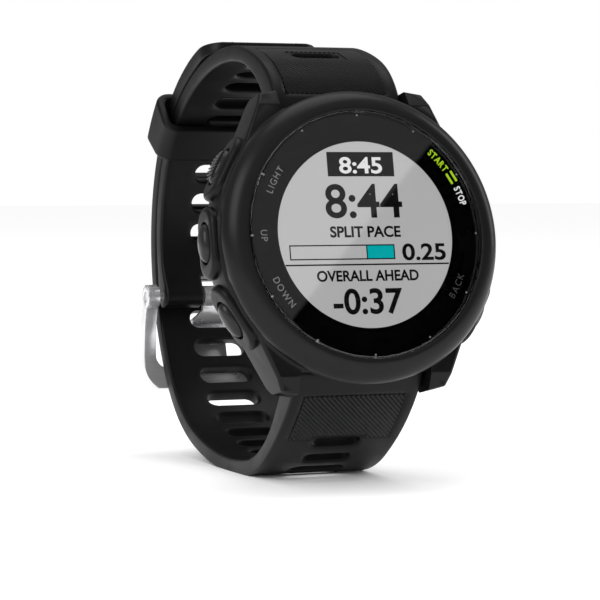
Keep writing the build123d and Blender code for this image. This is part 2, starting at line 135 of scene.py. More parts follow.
class ShaderDesk:
    """One material's node tree, with short calls for the nodes the finishes use."""

    def __init__(self, name: str) -> None:
        """Start an empty material.

        Args:
            name: the material's name.
        """
        self.material = bpy.data.materials.new(name)
        self.material.use_nodes = True
        self.tree = self.material.node_tree
        self.tree.nodes.clear()
        self.out = self.tree.nodes.new("ShaderNodeOutputMaterial")
        self.coords = self.tree.nodes.new("ShaderNodeTexCoord")

    def node(self, kind: str, **settings: object) -> bpy.types.Node:
        """Add a node.

        Args:
            kind: the node's type name.
            settings: properties to set on it.

        Returns:
            The new node.
        """
        return add_node(self.tree, kind, **settings)

    def join(self, source: bpy.types.NodeSocket, target: bpy.types.NodeSocket) -> None:
        """Link two sockets."""
        self.tree.links.new(source, target)

    def effect(self, group: bpy.types.NodeTree, **values: float) -> bpy.types.Node:
        """Place a shared effect on the object's own coordinates.

        Args:
            group: the effect's node group.
            values: its inputs by name, spaces written as underscores.

        Returns:
            The group node.
        """
        made = self.node("ShaderNodeGroup", node_tree=group)
        self.join(self.coords.outputs["Object"], made.inputs["Vector"])
        for key, value in values.items():
            made.inputs[key.replace("_", " ")].default_value = value
        return made

    def principled(self, **values: object) -> bpy.types.Node:
        """Add the surface shader and link it to the output.

        Args:
            values: constants for its sockets, spaces written as underscores.

        Returns:
            The shader node.
        """
        shader = self.node("ShaderNodeBsdfPrincipled")
        for key, value in values.items():
            shader.inputs[key.replace("_", " ")].default_value = value
        self.join(shader.outputs["BSDF"], self.out.inputs["Surface"])
        return shader

    def tint(self, mask: bpy.types.NodeSocket, low: Colour, high: Colour) -> bpy.types.NodeSocket:
        """Blend two colours by a mask.

        Args:
            mask: a value from 0 to 1.
            low: colour at 0.
            high: colour at 1.

        Returns:
            The blended colour's socket.
        """
        mix = self.node("ShaderNodeMix", data_type="RGBA")
        mix.inputs["A"].default_value = low
        mix.inputs["B"].default_value = high
        self.join(mask, mix.inputs["Factor"])
        return mix.outputs["Result"]

    def spread(self, mask: bpy.types.NodeSocket, low: float, high: float) -> bpy.types.NodeSocket:
        """Turn a 0 to 1 mask into a value between two numbers.

        Args:
            mask: a value from 0 to 1.
            low: result at 0.
            high: result at 1.

        Returns:
            The mapped value's socket.
        """
        ramp = self.node("ShaderNodeMapRange")
        ramp.inputs["To Min"].default_value = low
        ramp.inputs["To Max"].default_value = high
        self.join(mask, ramp.inputs["Value"])
        return ramp.outputs["Result"]

    def relief(self, shader: bpy.types.Node, height: bpy.types.NodeSocket, depth: float) -> None:
        """Feed a height into the shader's normal.

        Args:
            shader: the surface shader.
            height: the relief, 0 to 1.
            depth: its real depth in metres.
        """
        bump = self.node("ShaderNodeBump")
        bump.inputs["Distance"].default_value = depth
        bump.inputs["Strength"].default_value = 1.0
        self.join(height, bump.inputs["Height"])
        self.join(bump.outputs["Normal"], shader.inputs["Normal"])


class Effects:
    """Shader effects that several finishes share, each built once."""

    def __init__(self) -> None:
        """Build the groups."""
        self.moulded_grain = self._moulded_grain()
        self.handling = self._handling()
        self.brushed = self._brushed()

    @staticmethod
    def _start(name: str, inputs: Sequence[tuple[str, float]], outputs: Sequence[str]) -> bpy.types.NodeTree:
        """Make an empty group with named sockets.

        Args:
            name: the group's name.
            inputs: value inputs and their defaults, after Vector.
            outputs: value outputs.

        Returns:
            The group.
        """
        group = bpy.data.node_groups.new(name, "ShaderNodeTree")
        group.interface.new_socket("Vector", in_out="INPUT", socket_type="NodeSocketVector")
        for label, value in inputs:
            socket = group.interface.new_socket(label, in_out="INPUT", socket_type="NodeSocketFloat")
            socket.default_value = value
        for label in outputs:
            group.interface.new_socket(label, in_out="OUTPUT", socket_type="NodeSocketFloat")
        return group

    def _moulded_grain(self) -> bpy.types.NodeTree:
        """Fine pebble of moulded parts: a height and a soft mottling."""
        group = self._start("moulded grain", [("Scale", 4000.0), ("Mottle Scale", 300.0)],
                            ["Height", "Mottle"])
        enter = add_node(group, "NodeGroupInput").outputs
        grain = {"Vector": enter["Vector"], "Scale": enter["Scale"]}
        pebble = add_node(group, "ShaderNodeTexVoronoi", grain, feature="SMOOTH_F1")
        dust = add_node(group, "ShaderNodeTexNoise", grain, {"Detail": 3.0})
        mottle = add_node(group, "ShaderNodeTexNoise",
                          {"Vector": enter["Vector"], "Scale": enter["Mottle Scale"]}, {"Detail": 4.0})
        blend = add_node(group, "ShaderNodeMix", {"A": pebble.outputs["Distance"], "B": dust.outputs["Fac"]},
                         {"Factor": 0.45})
        add_node(group, "NodeGroupOutput",
                 {"Height": blend.outputs["Result"], "Mottle": mottle.outputs["Fac"]})
        return group

    def _handling(self) -> bpy.types.NodeTree:
        """Smears and fine specks of a handled surface, as one mask."""
        group = self._start("handling marks", [("Scale", 120.0), ("Specks", 0.3)], ["Mask"])
        enter = add_node(group, "NodeGroupInput").outputs
        smear = add_node(group, "ShaderNodeTexNoise", {"Vector": enter["Vector"], "Scale": enter["Scale"]},
                         {"Detail": 6.0, "Distortion": 0.8})
        ramp = add_node(group, "ShaderNodeValToRGB", {"Fac": smear.outputs["Fac"]})
        ramp.color_ramp.elements[0].position = 0.42
        ramp.color_ramp.elements[1].position = 0.68
        speck = add_node(group, "ShaderNodeTexNoise", {"Vector": enter["Vector"]}, {"Scale": 2600.0})
        cut = add_node(group, "ShaderNodeMapRange", {"Value": speck.outputs["Fac"]},
                       {"From Min": 0.66, "From Max": 0.74})
        scale = add_node(group, "ShaderNodeMath", {0: cut.outputs["Result"], 1: enter["Specks"]},
                         operation="MULTIPLY")
        total = add_node(group, "ShaderNodeMath", {0: ramp.outputs["Color"], 1: scale.outputs["Value"]},
                         operation="ADD", use_clamp=True)
        add_node(group, "NodeGroupOutput", {"Mask": total.outputs["Value"]})
        return group

    def _brushed(self) -> bpy.types.NodeTree:
        """Fine parallel lines along x, as a height."""
        group = self._start("brushed lines", [("Scale", 9000.0)], ["Height"])
        enter = add_node(group, "NodeGroupInput").outputs
        stretch = add_node(group, "ShaderNodeVectorMath", {0: enter["Vector"]}, {1: (0.02, 1.0, 1.0)},
                           operation="MULTIPLY")
        lines = add_node(group, "ShaderNodeTexNoise",
                         {"Vector": stretch.outputs["Vector"], "Scale": enter["Scale"]}, {"Detail": 2.0})
        add_node(group, "NodeGroupOutput", {"Height": lines.outputs["Fac"]})
        return group


# ---------------------------------------------------------------- finishes
@dataclass(frozen=True)
class MouldedFinish:
    """Moulded polymer or silicone with pebble grain and handling marks."""

    name: str
    colour: Colour
    worn: Colour
    rough: tuple[float, float]
    grain: float = 5200.0
    grain_depth: float = 0.000006
    specks: float = 0.25
    coat: float = 0.0
    gloss: float = 0.2

    def build(self, effects: Effects) -> bpy.types.Material:
        """Make the material.

        Args:
            effects: the shared effect groups.

        Returns:
            The finished material.
        """
        desk = ShaderDesk(self.name)
        shader = desk.principled(Coat_Weight=self.coat, Coat_Roughness=0.22, Specular_IOR_Level=self.gloss)
        grain = desk.effect(effects.moulded_grain, Scale=self.grain)
        marks = desk.effect(effects.handling, Specks=self.specks)
        desk.join(desk.tint(grain.outputs["Mottle"], self.colour, self.worn), shader.inputs["Base Color"])
        desk.join(desk.spread(marks.outputs["Mask"], *self.rough), shader.inputs["Roughness"])
        desk.relief(shader, grain.outputs["Height"], self.grain_depth)
        return desk.material


@dataclass(frozen=True)
class MetalFinish:
    """Fine-brushed metal with softened, slightly hazed polish."""

    name: str
    colour: Colour
    shade: Colour
    rough: tuple[float, float]
    mirror: float = 1.0
    lines_depth: float = 0.000003

    def build(self, effects: Effects) -> bpy.types.Material:
        """Make the material.

        Args:
            effects: the shared effect groups.

        Returns:
            The finished material.
        """
        desk = ShaderDesk(self.name)
        shader = desk.principled(Metallic=self.mirror)
        lines = desk.effect(effects.brushed)
        marks = desk.effect(effects.handling, Scale=260.0, Specks=0.2)
        desk.join(desk.tint(lines.outputs["Height"], self.shade, self.colour), shader.inputs["Base Color"])
        desk.join(desk.spread(marks.outputs["Mask"], *self.rough), shader.inputs["Roughness"])
        desk.relief(shader, lines.outputs["Height"], self.lines_depth)
        return desk.material


@dataclass(frozen=True)
class GlassFinish:
    """Clear or smoked hard glass with faint finger haze."""

    name: str
    colour: Colour
    rough: tuple[float, float]

    def build(self, effects: Effects) -> bpy.types.Material:
        """Make the material.

        Args:
            effects: the shared effect groups.

        Returns:
            The finished material.
        """
        desk = ShaderDesk(self.name)
        shader = desk.principled(Base_Color=self.colour, Transmission_Weight=1.0, IOR=1.48)
        marks = desk.effect(effects.handling, Scale=90.0, Specks=0.0)
        desk.join(desk.spread(marks.outputs["Mask"], *self.rough), shader.inputs["Roughness"])
        return desk.material


@dataclass(frozen=True)
class PaintedGlowFinish:
    """A display layer whose glow is painted light, standing in for the light that the lens glass keeps off
    it, with a faint pixel mesh.
    """

    name: str
    colour: Colour
    shade: Colour
    painted_glow_strength: float
    mirror: float = 0.0
    mesh_pitch: float = 0.00012

    def build(self, effects: Effects) -> bpy.types.Material:
        """Make the material.

        Args:
            effects: the shared effect groups.

        Returns:
            The finished material.
        """
        desk = ShaderDesk(self.name)
        # The emission is painted light: the display and inks glow in place of light reaching them through the
        # lens.
        shader = desk.principled(Roughness=0.02 if self.mirror else 0.4, Metallic=1.0 if self.mirror else 0.0,
                                 Specular_IOR_Level=0.1, Emission_Strength=self.painted_glow_strength)
        mesh = desk.node("ShaderNodeTexChecker")
        mesh.inputs["Scale"].default_value = 1.0 / self.mesh_pitch
        desk.join(desk.coords.outputs["Object"], mesh.inputs["Vector"])
        grain = desk.effect(effects.moulded_grain, Scale=2500.0, Mottle_Scale=60.0)
        blend = desk.node("ShaderNodeMath", operation="MULTIPLY_ADD")
        blend.inputs[1].default_value = 0.35
        desk.join(mesh.outputs["Fac"], blend.inputs[0])
        desk.join(grain.outputs["Mottle"], blend.inputs[2])
        painted_glow_tone = desk.tint(blend.outputs["Value"], self.colour, self.shade)
        desk.join(painted_glow_tone, shader.inputs["Emission Color"])
        desk.join(desk.tint(mesh.outputs["Fac"], grey(self.mirror + 0.004), grey(self.mirror * 0.97 + 0.003)),
                  shader.inputs["Base Color"])
        return desk.material


class Look(Enum):
    """Every finish on the watch."""

    SILICONE = MouldedFinish("strap silicone", (0.003, 0.003, 0.0033, 1), (0.005, 0.005, 0.0053, 1),
                             (0.38, 0.48),
                             grain=6500.0, grain_depth=0.000004, specks=0.3)
    RIBS = MouldedFinish("ribbed silicone", (0.005, 0.005, 0.0053, 1), (0.008, 0.008, 0.0084, 1),
                         (0.34, 0.44),
                         grain=7000.0, grain_depth=0.000003, specks=0.3)
    CASE = MouldedFinish("case polymer", (0.004, 0.004, 0.0043, 1), (0.006, 0.006, 0.0064, 1), (0.32, 0.42),
                         grain=5200.0, grain_depth=0.000005)
    BEZEL = MouldedFinish("bezel polymer", (0.006, 0.006, 0.0064, 1), (0.009, 0.009, 0.0094, 1), (0.29, 0.33),
                          grain=6000.0, grain_depth=0.000003)
    COVER = MouldedFinish("back cover polymer", (0.014, 0.014, 0.015, 1), (0.022, 0.022, 0.023, 1),
                          (0.42, 0.55),
                          grain=4200.0, grain_depth=0.000008)
    BUTTON = MouldedFinish("button caps", (0.012, 0.012, 0.013, 1), (0.018, 0.018, 0.019, 1), (0.26, 0.36),
                           grain=7000.0, grain_depth=0.000002, coat=0.2)
    SEAL = MouldedFinish("seal rubber", (0.02, 0.02, 0.02, 1), (0.03, 0.03, 0.03, 1), (0.6, 0.75))
    MASK = MouldedFinish("mask ink", (0.0012, 0.0012, 0.0013, 1), (0.002, 0.002, 0.0022, 1), (0.25, 0.32),
                         grain=9000.0, grain_depth=0.000001, specks=0.05, gloss=0.05)
    CHIP = MouldedFinish("chip epoxy", (0.02, 0.02, 0.022, 1), (0.035, 0.035, 0.04, 1), (0.5, 0.65))
    BOARD = MouldedFinish("board mask", (0.01, 0.09, 0.045, 1), (0.015, 0.13, 0.06, 1), (0.3, 0.45), coat=0.3)
    FLEX = MouldedFinish("flex film", (0.45, 0.2, 0.05, 1), (0.55, 0.27, 0.08, 1), (0.35, 0.5), coat=0.2)
    LED = MouldedFinish("led lens", (0.1, 0.6, 0.2, 1), (0.2, 0.75, 0.3, 1), (0.15, 0.25), coat=0.5)
    GUIDE = MouldedFinish("light guide", (0.7, 0.72, 0.73, 1), (0.8, 0.82, 0.83, 1), (0.2, 0.3), coat=0.3)
    PANEL = MouldedFinish("display cell", (0.3, 0.31, 0.31, 1), (0.36, 0.37, 0.37, 1), (0.25, 0.35))
    ANTENNA = MouldedFinish("antenna plating", (0.5, 0.36, 0.12, 1), (0.62, 0.46, 0.18, 1), (0.3, 0.4))
    STEEL = MetalFinish("buckle steel", (0.86, 0.86, 0.87, 1), (0.66, 0.66, 0.68, 1), (0.18, 0.28), 0.72)
    SHEET = MetalFinish("rolled sheet", (0.6, 0.6, 0.61, 1), (0.5, 0.5, 0.51, 1), (0.3, 0.42))
    GOLD = MetalFinish("plated contacts", (0.9, 0.68, 0.3, 1), (0.8, 0.58, 0.24, 1), (0.16, 0.28))
    FOIL = MetalFinish("cell foil", (0.7, 0.7, 0.72, 1), (0.6, 0.6, 0.62, 1), (0.35, 0.5))
    GLASS = GlassFinish("hard glass", (1.0, 1.0, 1.0, 1), (0.0, 0.003))
    SMOKED = GlassFinish("smoked window", (0.05, 0.05, 0.06, 1), (0.02, 0.06))
    # The display and ink finishes below glow with painted light in place of light reaching them through the
    # lens.
    SCREEN = PaintedGlowFinish("glow-painted display ground", (0.45, 0.45, 0.45, 1), (0.41, 0.41, 0.41, 1), 1.0, 0.28)
    TEAL = PaintedGlowFinish("glow-painted display teal", (0.0, 0.40, 0.42, 1), (0.0, 0.36, 0.38, 1), 1.0)
    DARK = PaintedGlowFinish("glow-painted display dark", (0.004, 0.004, 0.004, 1), (0.002, 0.002, 0.002, 1), 1.0)
    WHITE = PaintedGlowFinish("glow-painted white ink", (0.85, 0.85, 0.85, 1), (0.75, 0.75, 0.75, 1), 1.0)
    PALE = PaintedGlowFinish("glow-painted pale ink", (0.24, 0.24, 0.24, 1), (0.19, 0.19, 0.19, 1), 1.0)
    DIM = PaintedGlowFinish("glow-painted dim ink", (0.055, 0.055, 0.055, 1), (0.04, 0.04, 0.04, 1), 1.0)
    LIME = PaintedGlowFinish("glow-painted lime ink", (0.42, 0.68, 0.02, 1), (0.36, 0.6, 0.015, 1), 1.0)


RECORD_SLOTS = {
    "bezel": Look.BEZEL, "case": Look.CASE, "cover": Look.COVER, "lens": Look.GLASS, "seal": Look.SEAL,
    "mask": Look.MASK, "display": Look.PANEL, "guide": Look.GUIDE, "steel_sheet": Look.SHEET,
    "antenna": Look.ANTENNA, "steel": Look.STEEL, "window": Look.SMOKED, "gold": Look.GOLD,
    "board": Look.BOARD,
    "chip": Look.CHIP, "battery": Look.FOIL, "flex": Look.FLEX, "led": Look.LED, "silicone": Look.SILICONE,
    "button": Look.BUTTON,
}


# ---------------------------------------------------------------- workshop
@dataclass
class Workshop:
    """Turns head-frame meshes in millimetres into placed, dressed objects."""

    record: dict
    effects: Effects
    back_y: float = 12.3
    made: dict[str, bpy.types.Material] = field(default_factory=dict)

    def __post_init__(self) -> None:
        """Work out where the head frame lies, from the case back's mount."""
        mount = next(m for m in self.record["mounts"] if m["name"] == "case_back")
        back = Vector(mount["axis"]).normalized()
        right = Vector((1.0, 0.0, 0.0))
        up = right.cross(back)
        origin = Vector(mount["pos_m"]) - back * self.back_y * MM
        self.head = Matrix((right, back, up)).transposed().to_4x4()
        self.head = Matrix.Translation(origin) @ self.head @ Matrix.Scale(MM, 4)

    def finish(self, look: Look) -> bpy.types.Material:
        """The material of a finish, built the first time it is asked for.

        Args:
            look: which finish.

        Returns:
            The material.
        """
        if look.name not in self.made:
            self.made[look.name] = look.value.build(self.effects)
        return self.made[look.name]

    def place(self, bm: bmesh.types.BMesh, name: str, look: Look, body: str = "watch",
              replaces: Iterable[str] = (), slot: str = "", sharp: float = 35.0,
              placed: bool = False) -> bpy.types.Object:
        """Make an object of a head-frame mesh and put it on its body.

        Args:
            bm: the mesh in millimetres; it is freed.
            name: the piece's name.
            look: its finish.
            body: the CAD body it rides on.
            replaces: CAD nodes it stands for.
            slot: the record's material slot; not used.
            sharp: edges that turn more than this, in degrees, stay sharp.
            placed: the mesh is already in metres and in place.

        Returns:
            The placed object.
        """
        if not placed:
            bm.transform(self.head)
        for vert in bm.verts:
            vert.co.z = max(vert.co.z, 0.0)
        for face in bm.faces:
            face.smooth = True
        for edge in bm.edges:
            edge.smooth = len(edge.link_faces) == 2 and edge.calc_face_angle(0.0) < math.radians(sharp)
        mesh = bpy.data.meshes.new(name)
        bm.to_mesh(mesh)
        bm.free()
        mesh.materials.append(self.finish(look))
        piece = bpy.data.objects.new(name, mesh)
        bpy.context.scene.collection.objects.link(piece)
        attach(piece, body)
        for node in replaces:
            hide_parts(node)
        LOG.info("piece %s: %d faces on %s", name, len(mesh.polygons), body)
        return piece

    def lathe(self, profile: Sequence[tuple[float, float]], steps: int = 192) -> bmesh.types.BMesh:
        """Spin a closed (radius, y) profile about the head's y axis.

        Args:
            profile: the outline in millimetres.
            steps: divisions of the full turn.

        Returns:
            The closed mesh.
        """
        bm = bmesh.new()
        verts = [bm.verts.new((radius, y, 0.0)) for radius, y in profile]
        edges = [bm.edges.new((verts[i], verts[(i + 1) % len(verts)])) for i in range(len(verts))]
        bmesh.ops.spin(bm, geom=verts + edges, cent=(0, 0, 0), axis=(0, 1, 0), angle=math.tau, steps=steps,
                       use_merge=True)
        bmesh.ops.remove_doubles(bm, verts=bm.verts, dist=1e-5)
        bmesh.ops.recalc_face_normals(bm, faces=bm.faces)
        return bm


# ---------------------------------------------------------------- strap
@dataclass(frozen=True)
class StrapPath:
    """The strap's middle line in the head frame: tangent arcs and straight runs."""

    start: tuple[float, float]
    heading: float
    runs: tuple[tuple[float, float], ...]

    @property
    def length(self) -> float:
        """Whole length in millimetres."""
        return sum(run for run, _ in self.runs)

    def at(self, distance: float) -> tuple[float, float, float]:
        """The point and heading at a distance; past either end the line runs on straight.

        Args:
            distance: millimetres from the spring bar.

        Returns:
            y, z and the heading in radians.
        """
        y, z = self.start
        angle = math.radians(self.heading)
        left = distance
        for length, turn in self.runs:
            share = max(0.0, min(1.0, left / length))
            bend = math.radians(turn) * share
            chord = length * share * (math.sin(bend / 2) / (bend / 2) if abs(bend) > 1e-9 else 1.0)
            y += chord * math.cos(angle + bend / 2)
            z += chord * math.sin(angle + bend / 2)
            angle += bend
            left -= length * share
            if share < 1.0:
                break
        return y + left * math.cos(angle), z + left * math.sin(angle), angle


UPPER = StrapPath((8.4, 18.3), 84.36, ((9.35, -45.91), (9.35, -22.88), (11.42, -17.08), (12.46, -19.37),
                                       (20.77, -45.27), (15.06, -36.06)))
KEEPER_RUN = 4
LAYER_STEP = 2.65
SLOT_PITCH = 5.1
UPPER_SLOT = 22.2
TONGUE_SLOT = 71.85


def tail_path() -> StrapPath:
    """The lower half's line: round the wrist, then outside the upper half to the tail's tip."""
    runs = [(9.35, 11.55), (7.67, 15.28), (7.67, 24.8), (13.0, 15.02), (9.86, 10.85), (14.24, 35.41),
            (16.43, 24.38), (13.42, 24.26)]
    for length, turn in (UPPER.runs[4], UPPER.runs[3]):
        runs.append((length + LAYER_STEP * math.radians(-turn), -turn))
    return StrapPath((8.4, -18.3), -47.69, tuple(runs))


@dataclass(frozen=True)
class Slot:
    """One through slot: where it lies along the strap and how long it is across."""

    distance: float
    length: float = 8.8
    columns: int = 6
    radius: float = 1.5


@dataclass
class StrapHalf:
    """One half of the silicone strap, cut flat as a slotted sheet and then bent along its line."""

    name: str
    node: str
    path: StrapPath
    outer: int
    slots: list[Slot]
    panel: tuple[float, float]
    row: float = 5.1 / 12
    thickness: float = 2.4
    root_thickness: float = 4.4
    half_width: float = 9.7
    columns: tuple[float, ...] = (0.0, 0.77, 1.54, 2.31, 3.08, 3.84, 4.5, 5.3, 6.2, 7.2, 7.78, 7.98, 8.7, 9.7)
    recess: float = 0.13
    barrel: bool = False

    def half_thickness(self, distance: float) -> float:
        """Half thickness along the strap, rounded over at its ends.

        Args:
            distance: millimetres from the spring bar.

        Returns:
            Half thickness in millimetres.
        """
        share = max(0.0, min(1.0, distance / 16.0))
        blend = share * share * (3 - 2 * share)
        half = (self.root_thickness + (self.thickness - self.root_thickness) * blend) / 2
        if distance < 0:
            half = (self.root_thickness / 2) * math.sqrt(max(0.02, 1 - (distance / 2.2) ** 2))
        if self.barrel:
            near = max(0.0, min(1.0, (distance - self.path.length + 5.5) / 5.5))
            half += (2.0 - self.thickness / 2) * near * near * (3 - 2 * near)
            past = distance - self.path.length
            if past > 0:
                half *= math.sqrt(max(0.02, 1 - (past / 2.0) ** 2))
        else:
            near = max(0.0, min(1.0, (distance - self.path.length + 10.0) / 10.0))
            half -= 0.38 * near * near
        return half

    def width_share(self, distance: float) -> float:
        """How much of the full width the strap has at a distance, less at a rounded tail tip."""
        share = 1.0 - 0.035 * max(0.0, min(1.0, (distance - 8.0) / 20.0))
        if self.barrel:
            return share
        past = distance - (self.path.length - 4.0)
        if past > 0:
            share *= 0.55 + 0.45 * math.sqrt(max(0.0, 1 - (min(past, 4.0) / 4.0) ** 2))
        return share

    def _sheet(self) -> bmesh.types.BMesh:
        """The flat slotted sheet: x across, y along the strap."""
        bm = bmesh.new()
        first = self.slots[-1].distance % self.row - self.row * math.ceil(2.3 / self.row)
        last = self.path.length + (2.0 if self.barrel else 0.0)
        rows = int((last - first) / self.row)
        count = 2 * (len(self.columns) - 1)
        bmesh.ops.create_grid(bm, x_segments=count, y_segments=rows, size=1.0)
        half = count // 2
        for vert in bm.verts:
            index = round((vert.co.x + 1) / 2 * count) - half
            vert.co.x = math.copysign(self.columns[abs(index)], index)
            vert.co.y = first + (vert.co.y + 1) / 2 * rows * self.row
        return bm

    def _cut_slots(self, bm: bmesh.types.BMesh) -> None:
        """Open each slot and round its ends.

        Args:
            bm: the flat sheet.
        """
        reach = 4 * self.row
        for slot in self.slots:
            edge = self.columns[slot.columns]
            gone = [f for f in bm.faces if abs(f.calc_center_median().x) < edge
                    and abs(f.calc_center_median().y - slot.distance) < reach]
            bmesh.ops.delete(bm, geom=gone, context="FACES")
            straight = slot.length / 2 - slot.radius
            near = []
            for vert in bm.verts:
                along = vert.co.y - slot.distance
                if abs(vert.co.x) > edge + 1.2 or abs(along) > reach + 0.8:
                    continue
                inside = abs(vert.co.x) < edge + 0.01 and abs(along) < reach + 0.01
                if not (vert.is_boundary and inside):
                    near.append(vert)
                    continue
                over = abs(vert.co.x) - straight
                if over <= 0:
                    vert.co.y = slot.distance + math.copysign(slot.radius, along)
                else:
                    spoke = Vector((over, along)).normalized() * slot.radius
                    vert.co.x = math.copysign(straight + spoke.x, vert.co.x)
                    vert.co.y = slot.distance + spoke.y
            near = [v for v in near if not v.is_boundary]
            for _ in range(2):
                bmesh.ops.smooth_vert(bm, verts=near, factor=0.5, use_axis_x=True, use_axis_y=True)

    def _cut_notch(self, bm: bmesh.types.BMesh) -> None:
        """Open the buckle end for the tongue's root."""
        edge = 3.2
        gone = [f for f in bm.faces if abs(f.calc_center_median().x) < edge
                and f.calc_center_median().y > self.path.length - 3.2]
        bmesh.ops.delete(bm, geom=gone, context="FACES")

    def bend(self, bm: bmesh.types.BMesh) -> None:
        """Carry flat points (across, along, through) onto the strap's line, thickness to scale.

        Args:
            bm: the mesh to move.
        """
        nominal = self.thickness / 2
        for vert in bm.verts:
            across, along, through = vert.co
            y, z, angle = self.path.at(along)
            lift = through * self.half_thickness(along) / nominal
            vert.co = (across, y - math.sin(angle) * lift, z + math.cos(angle) * lift)

    def _round_edges(self, bm: bmesh.types.BMesh) -> None:
        """Soften the long edges, the slots' rims and the ends."""
        def rim(edge: bmesh.types.BMEdge) -> bool:
            """Whether an edge is sharp."""
            return len(edge.link_faces) == 2 and edge.calc_face_angle(0.0) > 1.0

        def outside(edge: bmesh.types.BMEdge) -> bool:
            """Whether an edge lies on the strap's border."""
            return all(abs(v.co.x) > 6.2 * self.width_share(v.co.y) for v in edge.verts)

        border = [e for e in bm.edges if rim(e) and outside(e)]
        soften(bm, border, 0.85, 4)
        lips = [e for e in bm.edges if rim(e) and not outside(e)]
        soften(bm, lips, 0.5, 3)

    def build(self, shop: Workshop) -> None:
        """Make the strap half and its ribbed panel.

        Args:
            shop: places and dresses the meshes.
        """
        bm = self._sheet()
        self._cut_slots(bm)
        if self.barrel:
            self._cut_notch(bm)
        for vert in bm.verts:
            vert.co.x *= self.width_share(vert.co.y)
        bmesh.ops.solidify(bm, geom=bm.faces[:], thickness=self.thickness)
        low = min(v.co.z for v in bm.verts)
        bmesh.ops.translate(bm, verts=bm.verts, vec=(0, 0, -low - self.thickness / 2))
        bmesh.ops.recalc_face_normals(bm, faces=bm.faces)
        self._round_edges(bm)
        face_level = self.outer * self.thickness / 2
        for vert in bm.verts:
            if (abs(vert.co.z - face_level) < 0.01 and abs(vert.co.x) < 7.85
                    and self.panel[0] < vert.co.y < self.panel[1]):
                vert.co.z -= self.outer * self.recess
        self.bend(bm)
        shop.place(bm, self.name, Look.SILICONE, replaces=[self.node], slot="silicone", sharp=50.0)
        ribs = RibPanel(self, self.panel, self.slots[0])
        shop.place(ribs.build(), f"{self.name}_ribs", Look.RIBS, slot="silicone", sharp=80.0)


@dataclass
class RibPanel:
    """Fine slanting ribs on a strap half's outer face, kept clear of its short slot."""

    strap: StrapHalf
    span: tuple[float, float]
    gap: Slot
    pitch: float = 0.52
    height: float = 0.13
    half_width: float = 7.72

    def _lattice(self) -> bmesh.types.BMesh:
        """Long parallel ribs over the panel's square, turned 45 degrees."""
        bm = bmesh.new()
        reach = (self.span[1] - self.span[0]) / 2 + self.half_width + 1
        bmesh.ops.create_grid(bm, x_segments=4, y_segments=44, size=1.0)
        for vert in bm.verts:
            step = round((vert.co.x + 1) * 2)
            vert.co = (vert.co.x * self.pitch * 0.46, vert.co.y * reach, (0.0, 0.8, 1.0, 0.8, 0.0)[step])
        single = bm.verts[:] + bm.edges[:] + bm.faces[:]
        count = int(reach / self.pitch)
        for index in range(-count, count + 1):
            copy = bmesh.ops.duplicate(bm, geom=single)["geom"]
            moved = [g for g in copy if isinstance(g, bmesh.types.BMVert)]
            bmesh.ops.translate(bm, verts=moved, vec=(index * self.pitch, 0, 0))
        bmesh.ops.delete(bm, geom=[g for g in single if isinstance(g, bmesh.types.BMVert)], context="VERTS")
        turn = Matrix.Rotation(math.radians(45.0 * self.strap.outer), 3, "Z")
        bmesh.ops.rotate(bm, verts=bm.verts, cent=(0, 0, 0), matrix=turn)
        bmesh.ops.translate(bm, verts=bm.verts, vec=(0, sum(self.span) / 2, 0))
        return bm

    def _window(self, x: tuple[float, float], y: tuple[float, float]) -> bmesh.types.BMesh:
        """The lattice cut down to one rectangle.

        Args:
            x: low and high side.
            y: low and high end.

        Returns:
            The cut mesh.
        """
        bm = self._lattice()
        cuts = (((x[0], 0, 0), (-1, 0, 0)), ((x[1], 0, 0), (1, 0, 0)), ((0, y[0], 0), (0, -1, 0)),
                ((0, y[1], 0), (0, 1, 0)))
        for point, outward in cuts:
            bmesh.ops.bisect_plane(bm, geom=bm.verts[:] + bm.edges[:] + bm.faces[:], plane_co=point,
                                   plane_no=outward, clear_outer=True)
        return bm

    def build(self) -> bmesh.types.BMesh:
        """Cut the lattice round the short slot and bend it onto the strap.

        Returns:
            The ribs in the head frame.
        """
        side = self.gap.length / 2 + 0.6
        low, high = self.gap.distance - 1.8, self.gap.distance + 1.8
        wide = (-self.half_width, self.half_width)
        windows = [(wide, (self.span[0] + 0.15, low)), (wide, (high, self.span[1] - 0.15)),
                   ((-self.half_width, -side), (low, high)), ((side, self.half_width), (low, high))]
        whole = joined(self._window(x, y) for x, y in windows if y[1] - y[0] >= 0.3)
        strap = self.strap
        floor = strap.thickness / 2 - strap.recess - 0.01
        for vert in whole.verts:
            vert.co.z = strap.outer * (floor + vert.co.z * self.height)
        if strap.outer < 0:
            bmesh.ops.reverse_faces(whole, faces=whole.faces)
        strap.bend(whole)
        return whole


